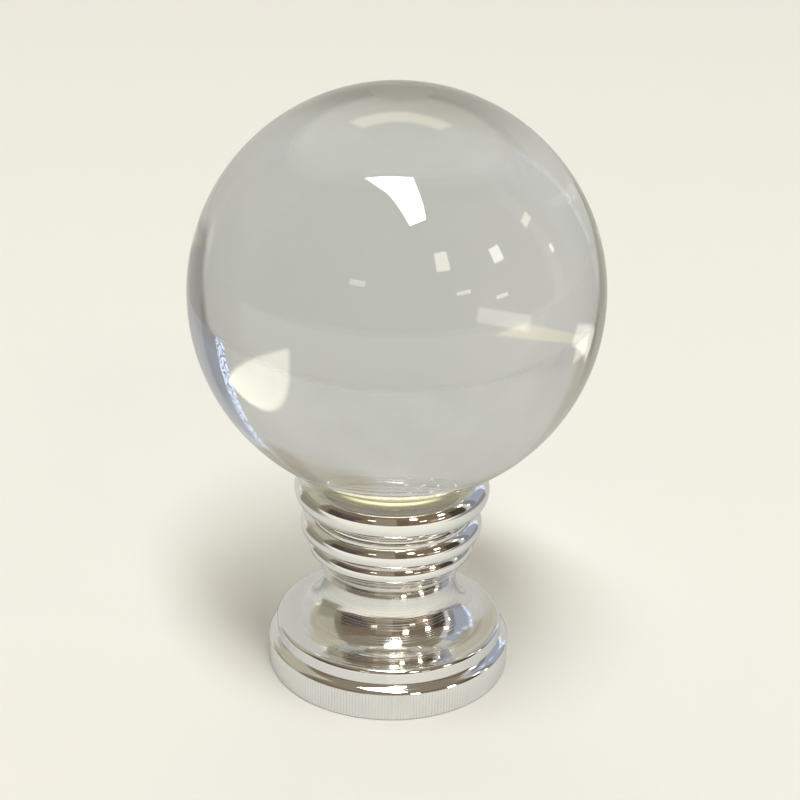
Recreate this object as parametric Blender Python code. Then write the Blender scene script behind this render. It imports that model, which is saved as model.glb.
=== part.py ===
"""Lamp shade finial: a clear glass ball seated on a turned, bright-plated metal base.

Metres, +Z up. The origin is the centre of the flat underside, on the axis of the socket.
"""

import math

import bmesh
import bpy

# Ball and its seat
BALL_RADIUS = 0.0200
SEAT_GAP = 0.0003               # clearance all round between the ball and the dished seat

# Foot, from the underside up
BAND_RADIUS = 0.01245           # over the crests of the knurled band
BAND_HEIGHT = 0.00295
BAND_BOTTOM_CHAMFER = 0.0002
SHOULDER_HEIGHT = 0.00075       # polished step between the band and the skirt
SHOULDER_LIP = 0.00035          # chamfer along the top of the band
SKIRT_RADIUS = 0.01165
SKIRT_HEIGHT = 0.00147
SKIRT_EDGE_RADIUS = 0.0005

# Bell and neck
BELL_HEIGHT = 0.0045            # from the skirt's top to the narrowest point of the neck
NECK_RADIUS = 0.00685
NECK_FLARE_RADIUS = 0.0047      # hollow curve from the neck up to the lowest bead
NECK_FLARE_ANGLE = math.radians(43)

# Three beads: radius of the bead itself, and how far out its crest stands. The lowest one grows
# out of the neck's flare, which sets how far out it stands.
LOWER_BEAD_RADIUS = 0.00115
MIDDLE_BEAD_RADIUS = 0.0015
MIDDLE_BEAD_CREST = 0.00920
UPPER_BEAD_RADIUS = 0.00183
UPPER_BEAD_CREST = 0.00983
LOWER_TO_MIDDLE = 0.00228       # centre to centre, up the axis
MIDDLE_TO_UPPER = 0.00384

# Socket for the threaded stud of a lamp harp
SOCKET_RADIUS = 0.003175
SOCKET_DEPTH = 0.0100
SOCKET_CHAMFER = 0.0005
DRILL_POINT_ANGLE = math.radians(59)

# Fineness of the facets
ROUND_STEPS = 56
BALL_RINGS = 28
CHORD_ERROR = 0.00003

BALL_COLOUR = (0.93, 0.95, 0.93, 1.0)
GLASS_IOR = 1.52
PLATING_COLOUR = (0.80, 0.79, 0.77, 1.0)
PLATING_ROUGHNESS = 0.08
SHARP_EDGE = math.radians(35)


def arc(centre, radius, start, end):
    """Points (radius, height) along an arc of the profile, both ends included."""
    step = 2 * math.acos(1 - CHORD_ERROR / radius)
    count = max(2, math.ceil(abs(end - start) / step))
    angles = [start + (end - start) * i / count for i in range(count + 1)]
    return [(centre[0] + radius * math.cos(a), centre[1] + radius * math.sin(a)) for a in angles]


def groove_point(upper, lower):
    """Outer point where two bead circles cross, or None where they stand apart."""
    (r1, z1, bead1), (r2, z2, bead2) = upper, lower
    gap = math.hypot(r2 - r1, z2 - z1)
    if gap >= bead1 + bead2:
        return None
    along = (bead1 ** 2 - bead2 ** 2 + gap ** 2) / (2 * gap)
    across = math.sqrt(bead1 ** 2 - along ** 2)
    unit_r, unit_z = (r2 - r1) / gap, (z2 - z1) / gap
    foot_r, foot_z = r1 + along * unit_r, z1 + along * unit_z
    return max((foot_r - side * across * unit_z, foot_z + side * across * unit_r) for side in (-1, 1))


def angle_to(bead, point):
    """Angle of a point on a bead, measured from its crest upwards."""
    return math.atan2(point[1] - bead[1], point[0] - bead[0])


def bead_arcs(beads, last_angle):
    """Outline of a stack of beads from the top down, with a groove between neighbours."""
    outline = []
    start = math.pi / 2
    for bead, below in zip(beads, beads[1:] + [None]):
        groove = groove_point(bead, below) if below else None
        if below is None:
            end = last_angle
        elif groove:
            end = angle_to(bead, groove)
        else:
            end = -math.pi / 2
        outline += arc(bead[:2], bead[2], start, end)
        start = angle_to(below, groove) if groove else math.pi / 2
    return outline


def neck_height():
    """Height of the narrowest point of the neck."""
    return BAND_HEIGHT + SHOULDER_HEIGHT + SKIRT_HEIGHT + BELL_HEIGHT


def bead_stack():
    """The three beads from the top down, each as (ring radius, height, bead radius)."""
    bend_radius = NECK_FLARE_RADIUS + LOWER_BEAD_RADIUS
    lower_ring = NECK_RADIUS + NECK_FLARE_RADIUS - bend_radius * math.cos(NECK_FLARE_ANGLE)
    lower_height = neck_height() + bend_radius * math.sin(NECK_FLARE_ANGLE)
    middle_height = lower_height + LOWER_TO_MIDDLE
    upper_height = middle_height + MIDDLE_TO_UPPER
    return [
        (UPPER_BEAD_CREST - UPPER_BEAD_RADIUS, upper_height, UPPER_BEAD_RADIUS),
        (MIDDLE_BEAD_CREST - MIDDLE_BEAD_RADIUS, middle_height, MIDDLE_BEAD_RADIUS),
        (lower_ring, lower_height, LOWER_BEAD_RADIUS),
    ]


def ball_height():
    """Height of the ball's centre: its seat meets the crown of the upper bead."""
    rim_radius, upper_height, bead_radius = bead_stack()[0]
    return upper_height + bead_radius + math.sqrt((BALL_RADIUS + SEAT_GAP) ** 2 - rim_radius ** 2)


def seat_outline():
    """Dished seat, from the axis out to the crown of the upper bead."""
    rim_radius = bead_stack()[0][0]
    seat_radius = BALL_RADIUS + SEAT_GAP
    rim_angle = math.asin(rim_radius / seat_radius)
    return arc((0, ball_height()), seat_radius, -math.pi / 2, -math.pi / 2 + rim_angle)


def neck_outline():
    """Hollow curves from under the lowest bead, round the neck and down the bell to the skirt."""
    flare_centre = (NECK_RADIUS + NECK_FLARE_RADIUS, neck_height())
    flare = arc(flare_centre, NECK_FLARE_RADIUS, math.pi - NECK_FLARE_ANGLE, math.pi)
    reach = SKIRT_RADIUS - SKIRT_EDGE_RADIUS - NECK_RADIUS
    bell = []
    for r, z in arc((0, 0), BELL_HEIGHT, math.pi, 1.5 * math.pi):
        bell.append((NECK_RADIUS + reach * (1 + r / BELL_HEIGHT), neck_height() + z))
    return flare[1:] + bell[1:]


def foot_outline():
    """Skirt, shoulder and band, from the skirt's rounded edge down to the underside."""
    shoulder_bottom = BAND_HEIGHT
    shoulder_top = shoulder_bottom + SHOULDER_HEIGHT
    skirt_top = shoulder_top + SKIRT_HEIGHT
    edge_centre = (SKIRT_RADIUS - SKIRT_EDGE_RADIUS, skirt_top - SKIRT_EDGE_RADIUS)
    outline = arc(edge_centre, SKIRT_EDGE_RADIUS, math.pi / 2, 0)
    lip = min(SHOULDER_LIP, BAND_RADIUS - SKIRT_RADIUS)
    outline += [
        (SKIRT_RADIUS, shoulder_top),
        (BAND_RADIUS - lip, shoulder_bottom + lip),
        (BAND_RADIUS, shoulder_bottom),
        (BAND_RADIUS, BAND_BOTTOM_CHAMFER),
        (BAND_RADIUS - BAND_BOTTOM_CHAMFER, 0),
    ]
    return outline


def socket_outline():
    """Blind bored socket with a chamfered mouth and a drilled point, up to the axis."""
    point_rise = SOCKET_RADIUS / math.tan(DRILL_POINT_ANGLE)
    return [
        (SOCKET_RADIUS + SOCKET_CHAMFER, 0),
        (SOCKET_RADIUS, SOCKET_CHAMFER),
        (SOCKET_RADIUS, SOCKET_DEPTH),
        (0, SOCKET_DEPTH + point_rise),
    ]


def base_outline():
    """Whole profile of the base: seat, beads, neck, foot and socket."""
    outline = seat_outline()
    outline += bead_arcs(bead_stack(), -NECK_FLARE_ANGLE)[1:]
    outline += neck_outline()
    outline += foot_outline()[1:]
    outline += socket_outline()
    return outline


def plating_material():
    material = bpy.data.materials.new("bright_plating")
    material.use_nodes = True
    shader = material.node_tree.nodes["Principled BSDF"]
    shader.inputs["Base Color"].default_value = PLATING_COLOUR
    shader.inputs["Metallic"].default_value = 1.0
    shader.inputs["Roughness"].default_value = PLATING_ROUGHNESS
    return material


def glass_material():
    material = bpy.data.materials.new("clear_glass")
    material.use_nodes = True
    shader = material.node_tree.nodes["Principled BSDF"]
    shader.inputs["Base Color"].default_value = BALL_COLOUR
    shader.inputs["Transmission Weight"].default_value = 1.0
    shader.inputs["Roughness"].default_value = 0.0
    shader.inputs["IOR"].default_value = GLASS_IOR
    return material


def add_object(name, bm, material):
    mesh = bpy.data.meshes.new(name)
    bm.to_mesh(mesh)
    bm.free()
    mesh.materials.append(material)
    mesh.shade_smooth()
    mesh.set_sharp_from_angle(angle=SHARP_EDGE)
    obj = bpy.data.objects.new(name, mesh)
    bpy.context.scene.collection.objects.link(obj)
    return obj


def make_base():
    """The turned base: its profile spun about the axis into one closed body."""
    bm = bmesh.new()
    points = [bm.verts.new((r, 0, z)) for r, z in base_outline()]
    edges = [bm.edges.new(pair) for pair in zip(points, points[1:])]
    bmesh.ops.spin(
        bm, geom=points + edges, axis=(0, 0, 1), cent=(0, 0, 0),
        steps=ROUND_STEPS, angle=math.tau, use_merge=True,
    )
    bmesh.ops.remove_doubles(bm, verts=bm.verts, dist=1e-7)
    bmesh.ops.recalc_face_normals(bm, faces=bm.faces)
    return add_object("metal_base", bm, plating_material())


def make_ball():
    bm = bmesh.new()
    bmesh.ops.create_uvsphere(bm, u_segments=ROUND_STEPS, v_segments=BALL_RINGS, radius=BALL_RADIUS)
    ball = add_object("crystal_ball", bm, glass_material())
    ball.location.z = ball_height()
    return ball


for leftover in list(bpy.data.objects):
    bpy.data.objects.remove(leftover, do_unlink=True)

make_base()
make_ball()
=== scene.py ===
"""Looks of the lamp shade finial: a clear glass ball on a turned, bright-plated base.

Metres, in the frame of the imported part: +Z up, the origin at the centre of the underside.
The base is turned again from the part's own dimensions, finely enough for mirror reflections,
with the knurled band, the turning marks and the screw thread that the solid leaves plain.
"""

import math
import random

import bmesh
import bpy
from mathutils import Matrix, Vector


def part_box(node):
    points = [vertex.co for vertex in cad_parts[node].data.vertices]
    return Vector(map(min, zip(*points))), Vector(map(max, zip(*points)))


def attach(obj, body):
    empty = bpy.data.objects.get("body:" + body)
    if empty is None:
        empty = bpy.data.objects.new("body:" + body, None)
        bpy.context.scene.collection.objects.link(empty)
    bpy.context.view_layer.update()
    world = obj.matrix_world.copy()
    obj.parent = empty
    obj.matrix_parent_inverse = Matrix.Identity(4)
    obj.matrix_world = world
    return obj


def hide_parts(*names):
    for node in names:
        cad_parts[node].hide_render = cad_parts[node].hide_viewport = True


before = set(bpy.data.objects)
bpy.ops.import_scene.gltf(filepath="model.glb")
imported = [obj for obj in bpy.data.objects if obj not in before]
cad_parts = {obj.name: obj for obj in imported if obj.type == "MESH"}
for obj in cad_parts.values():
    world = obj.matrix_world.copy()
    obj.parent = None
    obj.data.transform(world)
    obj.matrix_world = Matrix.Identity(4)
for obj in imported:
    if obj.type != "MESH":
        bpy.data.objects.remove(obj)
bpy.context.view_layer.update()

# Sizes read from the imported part
ball_low, ball_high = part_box("crystal_ball")
base_low, base_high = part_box("metal_base")
BALL_RADIUS = (ball_high.x - ball_low.x) / 2
BALL_CENTRE = (ball_low + ball_high) / 2
BAND_RADIUS = (base_high.x - base_low.x) / 2

# Foot, from the underside up
BAND_HEIGHT = 0.00295
BAND_BOTTOM_CHAMFER = 0.0001
SHOULDER_HEIGHT = 0.00075
SHOULDER_LIP = 0.00035
SHOULDER_SAG = 0.00003          # depth of the shallow cove between the skirt and the lip
SKIRT_RADIUS = 0.01165
SKIRT_HEIGHT = 0.00147
SKIRT_EDGE_RADIUS = 0.0005

# Bell and neck
BELL_HEIGHT = 0.0045
NECK_RADIUS = 0.00685
NECK_FLARE_RADIUS = 0.0047
NECK_FLARE_ANGLE = math.radians(43)

# Beads
LOWER_BEAD_RADIUS = 0.00115
MIDDLE_BEAD_RADIUS = 0.0015
MIDDLE_BEAD_CREST = 0.00920
UPPER_BEAD_RADIUS = 0.00183
UPPER_BEAD_CREST = 0.00983
LOWER_TO_MIDDLE = 0.00228
MIDDLE_TO_UPPER = 0.00384

# Seat: a film of clear cement lies between it and the ball
CEMENT_FILM = 0.00002
CEMENT_AND_PAINTED_LIGHT_ANGLE = math.radians(64)  # round the upper bead from its crest, up to the lower edge of the cement line and its painted light

# Knurled band
TEETH = 240
TOOTH_STEPS = 4                 # vertices from one crest to the next
TOOTH_DEPTH = 0.00011
TOOTH_RUNOUT = 0.00008          # height over which a tooth rises out of the band's plain rim
TOOTH_UNEVENNESS = 0.12         # share of its depth that a tooth may lack

# Socket for a threaded stud
SOCKET_RADIUS = 0.003175
SOCKET_DEPTH = 0.0100
SOCKET_CHAMFER = 0.0005
DRILL_POINT_ANGLE = math.radians(59)
INCH = 0.0254
THREADS_PER_INCH = 27
THREAD_PITCH = INCH / THREADS_PER_INCH
THREAD_DEPTH = 0.00042
THREAD_STEPS = 10               # rows of vertices for each turn
SOCKET_COLUMNS = TEETH // 3

# Fineness of the turned surface
CHORD_ERROR = 0.0000015
SEAT_STEPS = 20
SAG_STEPS = 6
SHARP_EDGE = math.radians(30)
BALL_DIVISIONS = 7

# Turning marks on the slope of the bell, deepest near its foot
MARK_SPACING = 0.00006
MARK_DEPTH = 0.000002           # of the finest rings
RING_DEPTH = 0.000010           # of the broader rings, each several marks wide
MARKS_IN_RING = 3
MARK_INNER_RADIUS = 0.0082
MARK_PEAK_RADIUS = 0.0103
MARK_OUTER_RADIUS = 0.0111
SEED = 27

# Finishes of the base, in the order of its materials
POLISHED, KNURLED, TURNED, SEAT, CEMENT_AND_PAINTED_LIGHT = range(5)


def arc(centre, radius, start, end, count=None):
    """Points (radius, height) along an arc of the profile, both ends included."""
    step = 2 * math.acos(1 - CHORD_ERROR / radius)
    count = count or max(2, math.ceil(abs(end - start) / step))
    angles = [start + (end - start) * i / count for i in range(count + 1)]
    return [(centre[0] + radius * math.cos(a), centre[1] + radius * math.sin(a)) for a in angles]


def groove_point(upper, lower):
    """Outer point where two bead circles cross, or None where they stand apart."""
    (r1, z1, bead1), (r2, z2, bead2) = upper, lower
    gap = math.hypot(r2 - r1, z2 - z1)
    if gap >= bead1 + bead2:
        return None
    along = (bead1 ** 2 - bead2 ** 2 + gap ** 2) / (2 * gap)
    across = math.sqrt(bead1 ** 2 - along ** 2)
    unit_r, unit_z = (r2 - r1) / gap, (z2 - z1) / gap
    foot_r, foot_z = r1 + along * unit_r, z1 + along * unit_z
    return max((foot_r - side * across * unit_z, foot_z + side * across * unit_r) for side in (-1, 1))


def angle_to(bead, point):
    """Angle of a point on a bead, measured from its crest upwards."""
    return math.atan2(point[1] - bead[1], point[0] - bead[0])


def neck_height():
    """Height of the narrowest point of the neck."""
    return BAND_HEIGHT + SHOULDER_HEIGHT + SKIRT_HEIGHT + BELL_HEIGHT


def bead_stack():
    """The three beads from the top down, each as (ring radius, height, bead radius)."""
    bend_radius = NECK_FLARE_RADIUS + LOWER_BEAD_RADIUS
    lower_ring = NECK_RADIUS + NECK_FLARE_RADIUS - bend_radius * math.cos(NECK_FLARE_ANGLE)
    lower_height = neck_height() + bend_radius * math.sin(NECK_FLARE_ANGLE)
    middle_height = lower_height + LOWER_TO_MIDDLE
    upper_height = middle_height + MIDDLE_TO_UPPER
    return [
        (UPPER_BEAD_CREST - UPPER_BEAD_RADIUS, upper_height, UPPER_BEAD_RADIUS),
        (MIDDLE_BEAD_CREST - MIDDLE_BEAD_RADIUS, middle_height, MIDDLE_BEAD_RADIUS),
        (lower_ring, lower_height, LOWER_BEAD_RADIUS),
    ]


def seat_outline():
    """Dished seat up to the ball, with a narrow rim that meets the upper bead squarely."""
    rim_radius, upper_height, _ = bead_stack()[0]
    lean = math.atan2(rim_radius, BALL_CENTRE.z - upper_height)
    bottom = -math.pi / 2
    return arc((0, BALL_CENTRE.z), BALL_RADIUS + CEMENT_FILM, bottom, bottom + lean, SEAT_STEPS)


def beads_outline():
    """The stack of beads from the top down, with a groove between neighbours."""
    beads = bead_stack()
    rim_radius, upper_height, _ = beads[0]
    outline = []
    start = math.atan2(BALL_CENTRE.z - upper_height, -rim_radius)
    for bead, below in zip(beads, beads[1:] + [None]):
        groove = groove_point(bead, below) if below else None
        if below is None:
            end = -NECK_FLARE_ANGLE
        elif groove:
            end = angle_to(bead, groove)
        else:
            end = -math.pi / 2
        outline += arc(bead[:2], bead[2], start, end)
        start = angle_to(below, groove) if groove else math.pi / 2
    return outline


def neck_outline():
    """Hollow curves from under the lowest bead, round the neck and down the bell to the skirt."""
    flare_centre = (NECK_RADIUS + NECK_FLARE_RADIUS, neck_height())
    flare = arc(flare_centre, NECK_FLARE_RADIUS, math.pi - NECK_FLARE_ANGLE, math.pi)
    reach = SKIRT_RADIUS - SKIRT_EDGE_RADIUS - NECK_RADIUS
    bell = []
    for r, z in arc((0, 0), BELL_HEIGHT, math.pi, 1.5 * math.pi):
        bell.append((NECK_RADIUS + reach * (1 + r / BELL_HEIGHT), neck_height() + z))
    return flare[1:] + turned(resampled(bell, MARK_SPACING))[1:]


def resampled(outline, spacing):
    """The same outline with evenly spaced points."""
    runs = [math.dist(a, b) for a, b in zip(outline, outline[1:])]
    count = math.ceil(sum(runs) / spacing)
    result = [outline[0]]
    index, done = 0, 0.0
    for step in range(1, count):
        target = sum(runs) * step / count
        while done + runs[index] < target:
            done += runs[index]
            index += 1
        share = (target - done) / runs[index]
        (r1, z1), (r2, z2) = outline[index], outline[index + 1]
        result.append((r1 + (r2 - r1) * share, z1 + (z2 - z1) * share))
    return result + [outline[-1]]


def turned(outline):
    """The outline with the fine rings that a lathe tool leaves on the slope of the bell."""
    chance = random.Random(SEED)
    broad = [chance.uniform(-1, 1) for _ in range(len(outline) // MARKS_IN_RING + 2)]
    result = []
    for i, (r, z) in enumerate(outline):
        rise = (r - MARK_INNER_RADIUS) / (MARK_PEAK_RADIUS - MARK_INNER_RADIUS)
        fall = (MARK_OUTER_RADIUS - r) / (MARK_OUTER_RADIUS - MARK_PEAK_RADIUS)
        share = max(0, min(rise, fall))
        step, part = divmod(i / MARKS_IN_RING, 1)
        here, beyond = broad[int(step)], broad[int(step) + 1]
        swing = here + (beyond - here) * (1 - math.cos(math.pi * part)) / 2
        result.append((r, z + share * (RING_DEPTH * swing + MARK_DEPTH * chance.uniform(-1, 1))))
    return result


def foot_outline():
    """Skirt and shoulder, from the skirt's rounded edge down to the top of the knurled band."""
    shoulder_top = BAND_HEIGHT + SHOULDER_HEIGHT
    skirt_top = shoulder_top + SKIRT_HEIGHT
    edge_centre = (SKIRT_RADIUS - SKIRT_EDGE_RADIUS, skirt_top - SKIRT_EDGE_RADIUS)
    cove_top = (SKIRT_RADIUS, shoulder_top)
    cove_foot = (BAND_RADIUS - SHOULDER_LIP, BAND_HEIGHT + SHOULDER_LIP)
    outline = arc(edge_centre, SKIRT_EDGE_RADIUS, math.pi / 2, 0)
    outline += sagging(cove_top, cove_foot, SHOULDER_SAG)
    outline += sagging(cove_foot, (BAND_RADIUS, BAND_HEIGHT), -SHOULDER_SAG)
    return outline


def sagging(start, end, sag):
    """A shallow curve from start to end, hollow by sag at its middle."""
    (r1, z1), (r2, z2) = start, end
    length = math.dist(start, end)
    inward_r, inward_z = (z2 - z1) / length, -(r2 - r1) / length
    points = []
    for i in range(SAG_STEPS + 1):
        share = i / SAG_STEPS
        depth = 4 * sag * share * (1 - share)
        points.append((r1 + (r2 - r1) * share + inward_r * depth, z1 + (z2 - z1) * share + inward_z * depth))
    return points


def ring(bm, radius, height, count=TEETH):
    """A ring of vertices. Radius may be a function of a vertex's place in the ring."""
    vertices = []
    for i in range(count):
        angle = math.tau * i / count
        r = radius(i) if callable(radius) else radius
        vertices.append(bm.verts.new((r * math.cos(angle), r * math.sin(angle), height)))
    return vertices


def join_rings(bm, first, second, finish=POLISHED):
    """Faces between two rings.

    One may be a single point, or have several vertices for each of the other's.
    """
    many, few = (first, second) if len(first) >= len(second) else (second, first)
    share = len(many) // len(few)
    if len(few) == 1:
        corner_lists = [[many[i], many[(i + 1) % len(many)], few[0]] for i in range(len(many))]
    else:
        corner_lists = []
        for i, vertex in enumerate(few):
            run = [many[(i * share + k) % len(many)] for k in range(share + 1)]
            corner_lists.append(run + [few[(i + 1) % len(few)], vertex])
    for corners in corner_lists:
        bm.faces.new(corners).material_index = finish


def tooth_radius(cuts):
    """Radius of the knurled band round its ring: a rounded wave, a little uneven from tooth to tooth."""
    def radius(i):
        wave = (1 - math.cos(math.tau * i / TOOTH_STEPS)) / 2
        return BAND_RADIUS - TOOTH_DEPTH * wave * cuts[i // TOOTH_STEPS]
    return radius


def thread_radius(height):
    """Radius of the threaded bore round its ring: a helical ridge with sloping flanks."""
    ends = min(height - SOCKET_CHAMFER, SOCKET_DEPTH - height) / THREAD_PITCH
    depth = THREAD_DEPTH * max(0, min(1, ends))

    def radius(i):
        turn = (height / THREAD_PITCH - i / SOCKET_COLUMNS) % 1
        return SOCKET_RADIUS - depth * (1 - abs(2 * turn - 1))
    return radius


def make_base():
    """The turned base as one closed mesh, from the centre of the seat round to the socket's end."""
    bm = bmesh.new()
    _, upper_height, _ = bead_stack()[0]
    # Above this edge the crown takes the cement line, its pale yellow tone partly painted light
    cement_and_painted_light_edge = upper_height + UPPER_BEAD_RADIUS * math.sin(CEMENT_AND_PAINTED_LIGHT_ANGLE)
    outline = [(point, SEAT) for point in seat_outline()]
    for point in beads_outline():
        outline.append((point, CEMENT_AND_PAINTED_LIGHT if point[1] > cement_and_painted_light_edge else POLISHED))
    outline += [(point, TURNED) for point in neck_outline()]
    outline += [(point, POLISHED) for point in foot_outline()[1:]]
    (_, seat_bottom), _ = outline[0]
    rings = [ring(bm, 0, seat_bottom, 1)]
    rings += [ring(bm, *point) for point, _ in outline[1:]]
    for upper, lower, (_, finish) in zip(rings, rings[1:], outline[1:]):
        join_rings(bm, upper, lower, finish)

    chance = random.Random(SEED)
    cuts = [1 - TOOTH_UNEVENNESS * chance.random() for _ in range(TEETH)]
    toothed = [
        ring(bm, tooth_radius(cuts), height, TEETH * TOOTH_STEPS)
        for height in (BAND_HEIGHT - TOOTH_RUNOUT, BAND_BOTTOM_CHAMFER)
    ]
    edge = ring(bm, BAND_RADIUS - BAND_BOTTOM_CHAMFER, 0)
    for upper, lower in zip([rings[-1]] + toothed, toothed + [edge]):
        join_rings(bm, upper, lower, KNURLED)

    mouth = ring(bm, SOCKET_RADIUS + SOCKET_CHAMFER, 0, SOCKET_COLUMNS)
    join_rings(bm, edge, mouth)
    rows = round((SOCKET_DEPTH - SOCKET_CHAMFER) / THREAD_PITCH * THREAD_STEPS)
    below = mouth
    for row in range(rows + 1):
        height = SOCKET_CHAMFER + (SOCKET_DEPTH - SOCKET_CHAMFER) * row / rows
        above = ring(bm, thread_radius(height), height, SOCKET_COLUMNS)
        join_rings(bm, below, above)
        below = above
    tip = ring(bm, 0, SOCKET_DEPTH + SOCKET_RADIUS / math.tan(DRILL_POINT_ANGLE), 1)
    join_rings(bm, below, tip)

    bmesh.ops.recalc_face_normals(bm, faces=bm.faces)
    finishes = [plating_material(), knurl_material(), turned_material(), seat_material(), cement_and_painted_light_material()]
    return add_piece("turned_base", bm, finishes)


def make_ball():
    bm = bmesh.new()
    place = Matrix.Translation(BALL_CENTRE)
    bmesh.ops.create_icosphere(bm, subdivisions=BALL_DIVISIONS, radius=BALL_RADIUS, matrix=place)
    return add_piece("glass_ball", bm, [glass_material()])


def add_piece(name, bm, materials):
    mesh = bpy.data.meshes.new(name)
    bm.to_mesh(mesh)
    bm.free()
    for material in materials:
        mesh.materials.append(material)
    mesh.shade_smooth()
    mesh.set_sharp_from_angle(angle=SHARP_EDGE)
    return add_object(name, mesh)


def add_sheet(name, corners, material):
    """One flat face with the given corners."""
    mesh = bpy.data.meshes.new(name)
    mesh.from_pydata(corners, [], [list(range(len(corners)))])
    mesh.materials.append(material)
    return add_object(name, mesh)


def add_object(name, data):
    added = bpy.data.objects.new(name, data)
    bpy.context.scene.collection.objects.link(added)
    return added


def math_node(tree, operation, *values):
    """One operation on numbers and sockets, in the order that the node takes them."""
    node = tree.nodes.new("ShaderNodeMath")
    node.operation = operation
    for socket, value in zip(node.inputs, values):
        if isinstance(value, (int, float)):
            socket.default_value = value
        else:
            tree.links.new(value, socket)
    return node.outputs[0]


def difference(tree, first, second):
    return math_node(tree, "SUBTRACT", first, second)


def product(tree, *factors):
    result = factors[0]
    for factor in factors[1:]:
        result = math_node(tree, "MULTIPLY", result, factor)
    return result


def distance(tree, first, second):
    """Length of a vector on the level plane from its two parts."""
    squares = [product(tree, part, part) for part in (first, second)]
    return math_node(tree, "SQRT", math_node(tree, "ADD", *squares))


def parts(tree, vector):
    split = tree.nodes.new("ShaderNodeSeparateXYZ")
    tree.links.new(vector, split.inputs["Vector"])
    return [split.outputs[axis] for axis in "XYZ"]


def map_range(tree, value, low, high, smooth=False, from_low=0.0, from_high=1.0):
    node = tree.nodes.new("ShaderNodeMapRange")
    if smooth:
        node.interpolation_type = "SMOOTHSTEP"
    node.inputs["From Min"].default_value = from_low
    node.inputs["From Max"].default_value = from_high
    node.inputs["To Min"].default_value = low
    node.inputs["To Max"].default_value = high
    tree.links.new(value, node.inputs["Value"])
    return node.outputs["Result"]


def rising(tree, value, start, end):
    """0 up to start and 1 from end on, with a soft passage."""
    return map_range(tree, value, 0, 1, True, start, end)


def falling(tree, value, start, end):
    """1 up to start and 0 from end on, with a soft passage."""
    return map_range(tree, value, 1, 0, True, start, end)


def colour_between(tree, value, first, second):
    """The first colour where value is 0 and the second where it is 1. The first may be a socket."""
    mix = tree.nodes.new("ShaderNodeMix")
    mix.data_type = "RGBA"
    if isinstance(first, tuple):
        mix.inputs["A"].default_value = (*first, 1)
    else:
        tree.links.new(first, mix.inputs["A"])
    mix.inputs["B"].default_value = (*second, 1)
    tree.links.new(value, mix.inputs["Factor"])
    return mix.outputs["Result"]


def own_place(tree):
    """Coordinates of the piece's own frame."""
    return tree.nodes.new("ShaderNodeTexCoord").outputs["Object"]


def noise(tree, place, scale, detail=2.0):
    """Noise with scale cells to the unit of the coordinates."""
    node = tree.nodes.new("ShaderNodeTexNoise")
    node.inputs["Scale"].default_value = scale
    node.inputs["Detail"].default_value = detail
    tree.links.new(place, node.inputs["Vector"])
    return node.outputs["Fac"]


def ring_noise(tree, scale, detail):
    """Noise that runs round the axis in rings, as turning leaves it."""
    across, along, height = parts(tree, own_place(tree))
    section = tree.nodes.new("ShaderNodeCombineXYZ")
    tree.links.new(distance(tree, across, along), section.inputs["X"])
    tree.links.new(height, section.inputs["Z"])
    return noise(tree, section.outputs["Vector"], scale, detail)


def bump(tree, shader, height, depth):
    node = tree.nodes.new("ShaderNodeBump")
    node.inputs["Distance"].default_value = depth
    tree.links.new(height, node.inputs["Height"])
    tree.links.new(node.outputs["Normal"], shader.inputs["Normal"])


def new_material(name):
    material = bpy.data.materials.new(name)
    material.use_nodes = True
    return material, material.node_tree, material.node_tree.nodes["Principled BSDF"]


def metal(name, pattern_of, colours, roughness):
    """Metal whose colour and gloss follow a pattern. The roughness is given as map_range takes it."""
    material, tree, shader = new_material(name)
    shader.inputs["Metallic"].default_value = 1.0
    pattern = pattern_of(tree)
    tree.links.new(colour_between(tree, pattern, *colours), shader.inputs["Base Color"])
    tree.links.new(map_range(tree, pattern, *roughness), shader.inputs["Roughness"])
    return material, tree, shader, pattern


def grainy_metal(name, grain, depth, colours, roughness):
    """Metal with one grain in its colour, its gloss and its surface."""
    material, tree, shader, pattern = metal(
        name, lambda tree: noise(tree, own_place(tree), grain), colours, roughness)
    bump(tree, shader, pattern, depth)
    return material


# Plating, in linear colour. Noise is in cells to the metre.
PLATING_COLOURS = ((0.925, 0.915, 0.90), (0.89, 0.88, 0.865))
PLATING_ROUGHNESS = (0.03, 0.07)
PLATING_CLOUDS = 180
PLATING_RIPPLES = 900
PLATING_RIPPLE_DEPTH = 0.0000015
TURNED_COLOURS = ((0.925, 0.915, 0.90), (0.85, 0.84, 0.81))
TURNED_ROUGHNESS = (0.04, 0.40)
TURNED_DULLING = (0.50, 0.74)   # values of the noise between which the rings turn dull
TURNED_RINGS = 14000
TURNED_DETAIL = 1.0
TURNED_ROTATION = 0.25          # of the stretched highlights, as a share of a full turn


def plating_material():
    """Bright plating: nearly a mirror, with faint clouding."""
    material, tree, shader, _ = metal(
        "bright_plating_finish", lambda tree: noise(tree, own_place(tree), PLATING_CLOUDS),
        PLATING_COLOURS, PLATING_ROUGHNESS)
    bump(tree, shader, noise(tree, own_place(tree), PLATING_RIPPLES), PLATING_RIPPLE_DEPTH)
    return material


def turned_material():
    """The plating over turning marks: hair-fine duller rings that draw highlights out across them."""
    material, tree, shader, _ = metal(
        "turned_plating_finish", lambda tree: ring_noise(tree, TURNED_RINGS, TURNED_DETAIL),
        TURNED_COLOURS, (*TURNED_ROUGHNESS, True, *TURNED_DULLING))
    tangent = tree.nodes.new("ShaderNodeTangent")
    tangent.direction_type = "RADIAL"
    tangent.axis = "Z"
    tree.links.new(tangent.outputs["Tangent"], shader.inputs["Tangent"])
    shader.inputs["Anisotropic"].default_value = 1.0
    shader.inputs["Anisotropic Rotation"].default_value = TURNED_ROTATION
    return material


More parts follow.
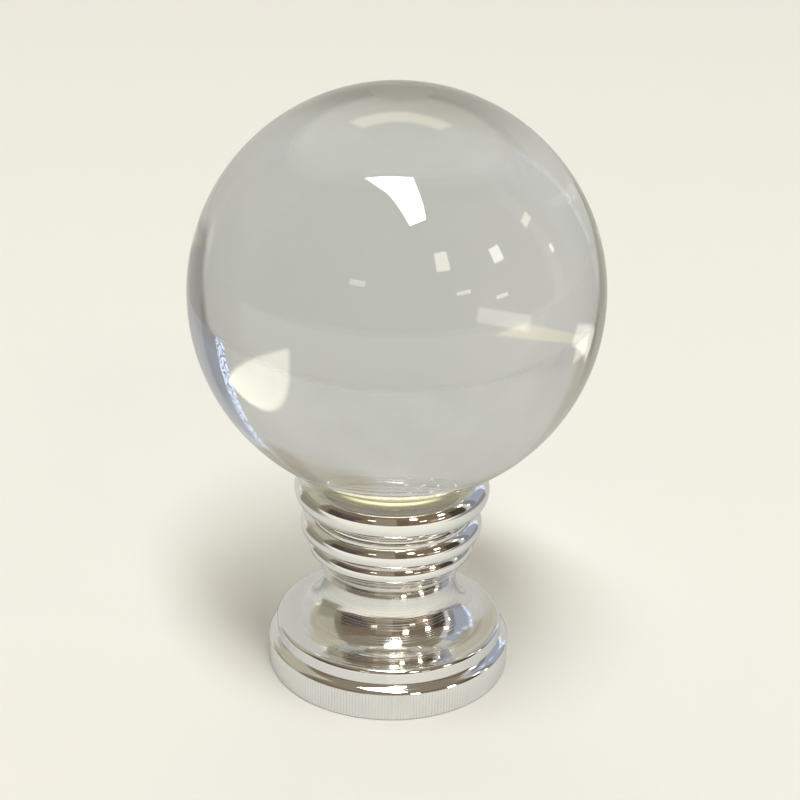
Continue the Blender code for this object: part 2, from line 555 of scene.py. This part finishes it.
def knurl_material():
    """The same plating on the knurled band, with a fine grain in its tone, gloss and surface."""
    return grainy_metal(
        "knurled_plating_finish", grain=2500, depth=0.000008,
        colours=((0.96, 0.955, 0.94), (0.87, 0.865, 0.85)), roughness=(0.12, 0.26))


def seat_material():
    """The dished seat, left matt from turning and wetted with clear cement."""
    return grainy_metal(
        "cemented_seat_finish", grain=1200, depth=0.00001,
        colours=((0.92, 0.91, 0.87), (0.84, 0.83, 0.78)), roughness=(0.30, 0.42))


def cement_and_painted_light_material():
    """The line where the cement meets the crown of the upper bead: plating with a tan, satin film of cement,
    whose pale yellow tone is also painted light, standing for the light that the ball focuses onto the
    crown.
    """
    return grainy_metal(
        "cement_line_and_painted_light_finish", grain=700, depth=0.00001,
        colours=((0.93, 0.915, 0.76), (0.84, 0.825, 0.67)), roughness=(0.26, 0.38))


GLASS_COLOUR = (0.93, 0.94, 0.925)
GLASS_IOR = 1.52
GLASS_WAVES = 60
GLASS_WAVE_DEPTH = 0.000004


def glass_material():
    """Clear crystal with a hint of grey-green, polished by hand so that its surface wavers very slightly."""
    material, tree, shader = new_material("clear_glass_finish")
    shader.inputs["Base Color"].default_value = (*GLASS_COLOUR, 1)
    shader.inputs["Roughness"].default_value = 0.0
    shader.inputs["IOR"].default_value = GLASS_IOR
    shader.inputs["Transmission Weight"].default_value = 1.0
    bump(tree, shader, noise(tree, own_place(tree), GLASS_WAVES), GLASS_WAVE_DEPTH)
    return material


# Room that the polished surfaces mirror and that the glass shows. Azimuth 0 is behind the object and
# 90 to its right. A patch lies over those before it. One with a grain is broken up into glints, that
# many to the radian.
ROOM_COLOUR = (0.585, 0.585, 0.55)
ROOM = [
    # what, azimuth, half width, elevation, half height, softness (degrees), grain, colour
    ("ceiling", 0, 200, 90, 28, 8, 0, (0.42, 0.40, 0.34)),
    ("cream ceiling", -62, 40, 53, 10, 6, 0, (0.53, 0.50, 0.40)),
    ("dark ceiling", 0, 30, 67.5, 8.5, 4, 0, (0.25, 0.23, 0.18)),
    ("warm ceiling", 0, 26, 54.5, 4.5, 4, 0, (2.6, 2.5, 1.75)),
    ("warm corner", 21, 15, 38, 12, 8, 0, (0.52, 0.49, 0.40)),
    ("brown frame", 32, 6, 38, 12, 6, 0, (0.40, 0.36, 0.28)),
    ("left wall", -79, 30, 26, 27, 6, 0, (0.47, 0.45, 0.35)),
    ("left skirting", -79, 21, 6, 11, 8, 0, (0.31, 0.30, 0.23)),
    ("low left", -92, 34, -20, 22, 5, 0, (0.26, 0.25, 0.20)),
    ("pale corner", -50, 4, -0.5, 2.8, 2, 0, (0.95, 0.92, 0.76)),
    ("far left wall", -104, 12, 26, 26, 6, 0, (0.20, 0.185, 0.135)),
    ("window", 59, 18, 24, 27, 2, 0, (0.37, 0.40, 0.48)),
    ("window side", 74, 5, 22, 22, 3, 0, (0.24, 0.235, 0.24)),
    ("over the window", 47, 6, 44, 12, 3, 0, (0.40, 0.36, 0.28)),
    ("window sill", 60, 15, -4, 5, 3, 0, (0.34, 0.33, 0.37)),
    ("glints, left", 43, 2.4, 15, 18, 0.8, 80, (1.1, 1.25, 1.6)),
    ("glints, top", 51, 6, 33, 2.0, 0.8, 80, (0.9, 1.0, 1.3)),
    ("glints, right", 61, 6, 39.5, 1.6, 0.8, 80, (0.8, 0.9, 1.2)),
    ("dark front", 174, 84, 23.5, 24.5, 3, 0, (0.205, 0.155, 0.105)),
    ("front ceiling", 174, 96, 62, 14, 6, 0, (0.25, 0.215, 0.16)),
    ("dark left corner", -122, 18, 12, 14, 6, 0, (0.08, 0.065, 0.055)),
    ("purple corner", -134, 13, 20, 8, 6, 0, (0.105, 0.085, 0.095)),
    ("pillar", -173, 13, 20.5, 21, 2, 0, (0.29, 0.25, 0.19)),
    ("dark doorway", 167, 6, 15, 15.5, 3, 0, (0.16, 0.12, 0.08)),
    ("orange glow", 128, 7, 10, 5, 8, 0, (0.50, 0.38, 0.27)),
    ("dark right corner", 98, 11, 14, 14.5, 5, 0, (0.06, 0.05, 0.035)),
    ("table edge", 174, 84, 0, 1.2, 0.8, 0, (0.05, 0.043, 0.036)),
    ("front lamp", 152.3, 4.2, 33.7, 4.8, 1, 0, (7.2, 6.8, 5.5)),
    ("side lamp", 117, 3.6, 29, 3.6, 1, 0, (9, 8.8, 8.2)),
    ("far side lamp", 84.5, 4, 31, 1.8, 1, 0, (5.5, 5.0, 4.0)),
    ("low lamp", 79.5, 1.4, 15, 1.6, 0.6, 0, (6, 5.7, 5.0)),
    ("left strip", -158, 4.5, 22.5, 1.5, 0.8, 0, (4, 3.8, 3.4)),
    ("right strip", 143, 4, 16.6, 0.9, 0.6, 0, (6, 5.6, 5.0)),
    ("far right strip", 121.5, 3.6, 10.3, 0.9, 0.6, 0, (6, 5.6, 5.0)),
]
GLINT_EDGE = (0.47, 0.53)       # values of the noise between which a glint begins
ROOM_UNEVENNESS = 0.05
ROOM_CLOUDS = 3.5               # to the radian
ROOM_CLOUD_DETAIL = 3.0
ROOM_CLOUD_RANGE = (0.35, 0.65)
BACKDROP_COLOUR = (0.865, 0.855, 0.765)  # as the table looks far off, so that the camera sees no horizon


def within(tree, angle, half, soft):
    """1 where an angle from a patch's middle is inside it, falling softly to 0 at its edge."""
    edge, blur = math.radians(half), math.radians(soft)
    return falling(tree, math_node(tree, "ABSOLUTE", angle), edge - blur / 2, edge + blur / 2)


def seen_by_camera(tree, colour, plain):
    """The colour for glass and metal, and a plain one where the camera looks straight at it."""
    sight = tree.nodes.new("ShaderNodeLightPath").outputs["Is Camera Ray"]
    return colour_between(tree, sight, colour, plain)


def make_room():
    """World light: a pale room with a darker side towards the camera."""
    world = bpy.data.worlds.new("soft_room")
    bpy.context.scene.world = world
    world.use_nodes = True
    tree = world.node_tree
    direction = tree.nodes.new("ShaderNodeTexCoord").outputs["Generated"]
    across, along, up = parts(tree, direction)
    azimuth = math_node(tree, "ARCTAN2", across, along)
    elevation = math_node(tree, "ARCSINE", up)
    colour = ROOM_COLOUR
    for name, middle, half_width, height, half_height, soft, grain, patch in ROOM:
        turn = difference(tree, azimuth, math.radians(middle))
        turn = math_node(tree, "WRAP", turn, math.pi, -math.pi)
        rise = difference(tree, elevation, math.radians(height))
        mask = product(tree, within(tree, turn, half_width, soft), within(tree, rise, half_height, soft))
        if grain:
            mask = product(tree, mask, rising(tree, noise(tree, direction, grain), *GLINT_EDGE))
        colour = colour_between(tree, mask, colour, patch)
        colour.node.label = name
    clouds = noise(tree, direction, ROOM_CLOUDS, ROOM_CLOUD_DETAIL)
    shade = map_range(tree, clouds, 1 - ROOM_UNEVENNESS, 1 + ROOM_UNEVENNESS, False, *ROOM_CLOUD_RANGE)
    uneven = tree.nodes.new("ShaderNodeVectorMath")
    uneven.operation = "SCALE"
    tree.links.new(colour, uneven.inputs["Vector"])
    tree.links.new(shade, uneven.inputs["Scale"])
    seen = seen_by_camera(tree, uneven.outputs["Vector"], BACKDROP_COLOUR)
    tree.links.new(seen, tree.nodes["Background"].inputs["Color"])


# Soft light overhead: its corners on a level plane, as shares of its height above the ball
SOFTBOX_HEIGHT = 4.0
SOFTBOX_CORNERS = [
    (-0.277, -0.124), (-0.180, -0.132), (-0.069, -0.137), (0.024, -0.141), (0.102, -0.138),
    (0.162, -0.278), (0.229, -0.452), (0.281, -0.610), (0.121, -0.724), (0.019, -0.526),
    (-0.089, -0.339), (-0.194, -0.230),
]
SOFTBOX_COLOUR = (1.0, 0.99, 0.96)
SOFTBOX_STRENGTH = 19.0


def make_softbox():
    level = BALL_CENTRE.z + SOFTBOX_HEIGHT
    corners = [(x * SOFTBOX_HEIGHT, y * SOFTBOX_HEIGHT, level) for x, y in SOFTBOX_CORNERS]
    material, _, shader = new_material("softbox_light")
    shader.inputs["Base Color"].default_value = (0, 0, 0, 1)
    shader.inputs["Emission Color"].default_value = (*SOFTBOX_COLOUR, 1)
    shader.inputs["Emission Strength"].default_value = SOFTBOX_STRENGTH
    softbox = add_sheet("softbox", corners, material)


# Table: plain to the camera. Glass and metal show it paler in front and darker behind, in painted shade,
# with a painted shadow behind the foot, a painted streak of light and darker surroundings. It fades into the
# room.
# A place is given across and behind the axis, and azimuths as in the room.
FLOOR_REACH = 1.2
FLOOR_FADE = (0.4, 0.9)         # distances from the axis
FLOOR_ROUGHNESS = 0.7
FLOOR_PLAIN = (0.84, 0.84, 0.82)
FLOOR_FRONT = (0.87, 0.88, 0.85)
# Painted shade: the table darker behind the axis
FLOOR_BACK = (0.525, 0.545, 0.555)
FLOOR_BLEND = (-0.05, 0.03)     # distances behind the axis between which the table darkens
PALE_SIDE = (-35, 0)            # azimuths between which its paler left part ends
PALE_COLOUR = (0.605, 0.62, 0.635)
SHADOW_PLACE = (0.0, 0.024)
SHADOW_FADE = (0.002, 0.028)    # distances from its middle
SHADOW_COLOUR = (0.41, 0.41, 0.385)
LEFT_FADE = (0.042, 0.060)      # distances from the axis between which the dark left side begins
LEFT_FRONT = (-0.03, 0.0)       # distances behind the axis between which it begins
LEFT_SIDE = (-62, -56)          # azimuths between which it ends
LEFT_COLOUR = (0.225, 0.21, 0.165)
RIGHT_FADE = (0.075, 0.095)     # the same for the dark right side
RIGHT_FRONT = (-0.06, -0.03)
RIGHT_SIDE = (45, 51)
RIGHT_COLOUR = (0.205, 0.20, 0.23)
STREAK_START = (-0.049, 0.157)
STREAK_DIRECTION = (-0.835, 0.550)
STREAK_HALF_WIDTH = 0.010       # at its start
STREAK_SPREAD = 0.035           # by which it widens on each side, as a share of its length
STREAK_BLUR = 0.004
STREAK_COLOUR = (0.77, 0.765, 0.69)


def in_radians(angles):
    return [math.radians(angle) for angle in angles]


def from_place(tree, across, along, place):
    """The two parts of the way from a place on the table."""
    return difference(tree, across, place[0]), difference(tree, along, place[1])


def streak_mask(tree, across, along):
    """A band of light that crosses the table behind the object and widens to the left."""
    dx, dy = from_place(tree, across, along, STREAK_START)
    way_x, way_y = STREAK_DIRECTION
    length = math_node(tree, "ADD", product(tree, dx, way_x), product(tree, dy, way_y))
    aside = difference(tree, product(tree, dy, way_x), product(tree, dx, way_y))
    spread = product(tree, length, STREAK_SPREAD)
    edge = difference(tree, math_node(tree, "ABSOLUTE", aside), spread)
    beside = falling(tree, edge, STREAK_HALF_WIDTH - STREAK_BLUR, STREAK_HALF_WIDTH + STREAK_BLUR)
    return product(tree, beside, rising(tree, length, -STREAK_BLUR, STREAK_BLUR))


def make_floor():
    corners = [(x * FLOOR_REACH, y * FLOOR_REACH, 0) for x, y in ((-1, -1), (1, -1), (1, 1), (-1, 1))]
    material, tree, shader = new_material("pale_table")
    shader.inputs["Roughness"].default_value = FLOOR_ROUGHNESS
    across, along, _ = parts(tree, own_place(tree))
    azimuth = math_node(tree, "ARCTAN2", across, along)
    radius = distance(tree, across, along)
    behind = rising(tree, along, *FLOOR_BLEND)
    pale = product(tree, falling(tree, azimuth, *in_radians(PALE_SIDE)), behind)
    from_shadow = distance(tree, *from_place(tree, across, along, SHADOW_PLACE))
    left = product(
        tree, rising(tree, radius, *LEFT_FADE), falling(tree, azimuth, *in_radians(LEFT_SIDE)),
        rising(tree, along, *LEFT_FRONT))
    right = product(
        tree, rising(tree, radius, *RIGHT_FADE), rising(tree, azimuth, *in_radians(RIGHT_SIDE)),
        rising(tree, along, *RIGHT_FRONT))
    patches = [
        # painted shade behind the axis; further down, a painted shadow behind the foot and a painted streak
        # of light
        (behind, FLOOR_BACK),
        (pale, PALE_COLOUR),
        (falling(tree, from_shadow, *SHADOW_FADE), SHADOW_COLOUR),
        (left, LEFT_COLOUR),
        (right, RIGHT_COLOUR),
        (streak_mask(tree, across, along), STREAK_COLOUR),
    ]
    colour = FLOOR_FRONT
    for mask, patch in patches:
        colour = colour_between(tree, mask, colour, patch)
    tree.links.new(seen_by_camera(tree, colour, FLOOR_PLAIN), shader.inputs["Base Color"])

    fade = tree.nodes.new("ShaderNodeMixShader")
    clear = tree.nodes.new("ShaderNodeBsdfTransparent")
    tree.links.new(rising(tree, radius, *FLOOR_FADE), fade.inputs["Fac"])
    tree.links.new(shader.outputs["BSDF"], fade.inputs[1])
    tree.links.new(clear.outputs["BSDF"], fade.inputs[2])
    tree.links.new(fade.outputs["Shader"], tree.nodes["Material Output"].inputs["Surface"])
    floor = add_sheet("floor", corners, material)


# Camera at the photograph's angle, worked out from the ball's outline and the circles of the foot
CAMERA_PLACE = (0.00057, -0.14494, 0.09126)
CAMERA_PITCH = math.radians(23.215)
CAMERA_ROLL = math.radians(1.511)
CAMERA_LENS = 72.0              # millimetres, on Blender's 36 mm sensor
CAMERA_CLIP = (0.005, 100)


def make_camera():
    camera = add_object("camera", bpy.data.cameras.new("camera"))
    camera.data.lens = CAMERA_LENS
    camera.data.clip_start, camera.data.clip_end = CAMERA_CLIP
    look = Matrix.Rotation(math.pi / 2 - CAMERA_PITCH, 4, "X") @ Matrix.Rotation(CAMERA_ROLL, 4, "Z")
    camera.matrix_world = Matrix.Translation(CAMERA_PLACE) @ look
    bpy.context.scene.camera = camera


make_camera()

base = make_base()
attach(base, "root")
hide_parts("metal_base")

ball = make_ball()
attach(ball, "root")
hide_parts("crystal_ball")

make_floor()
make_softbox()
make_room()
bpy.context.scene.view_settings.view_transform = "Standard"
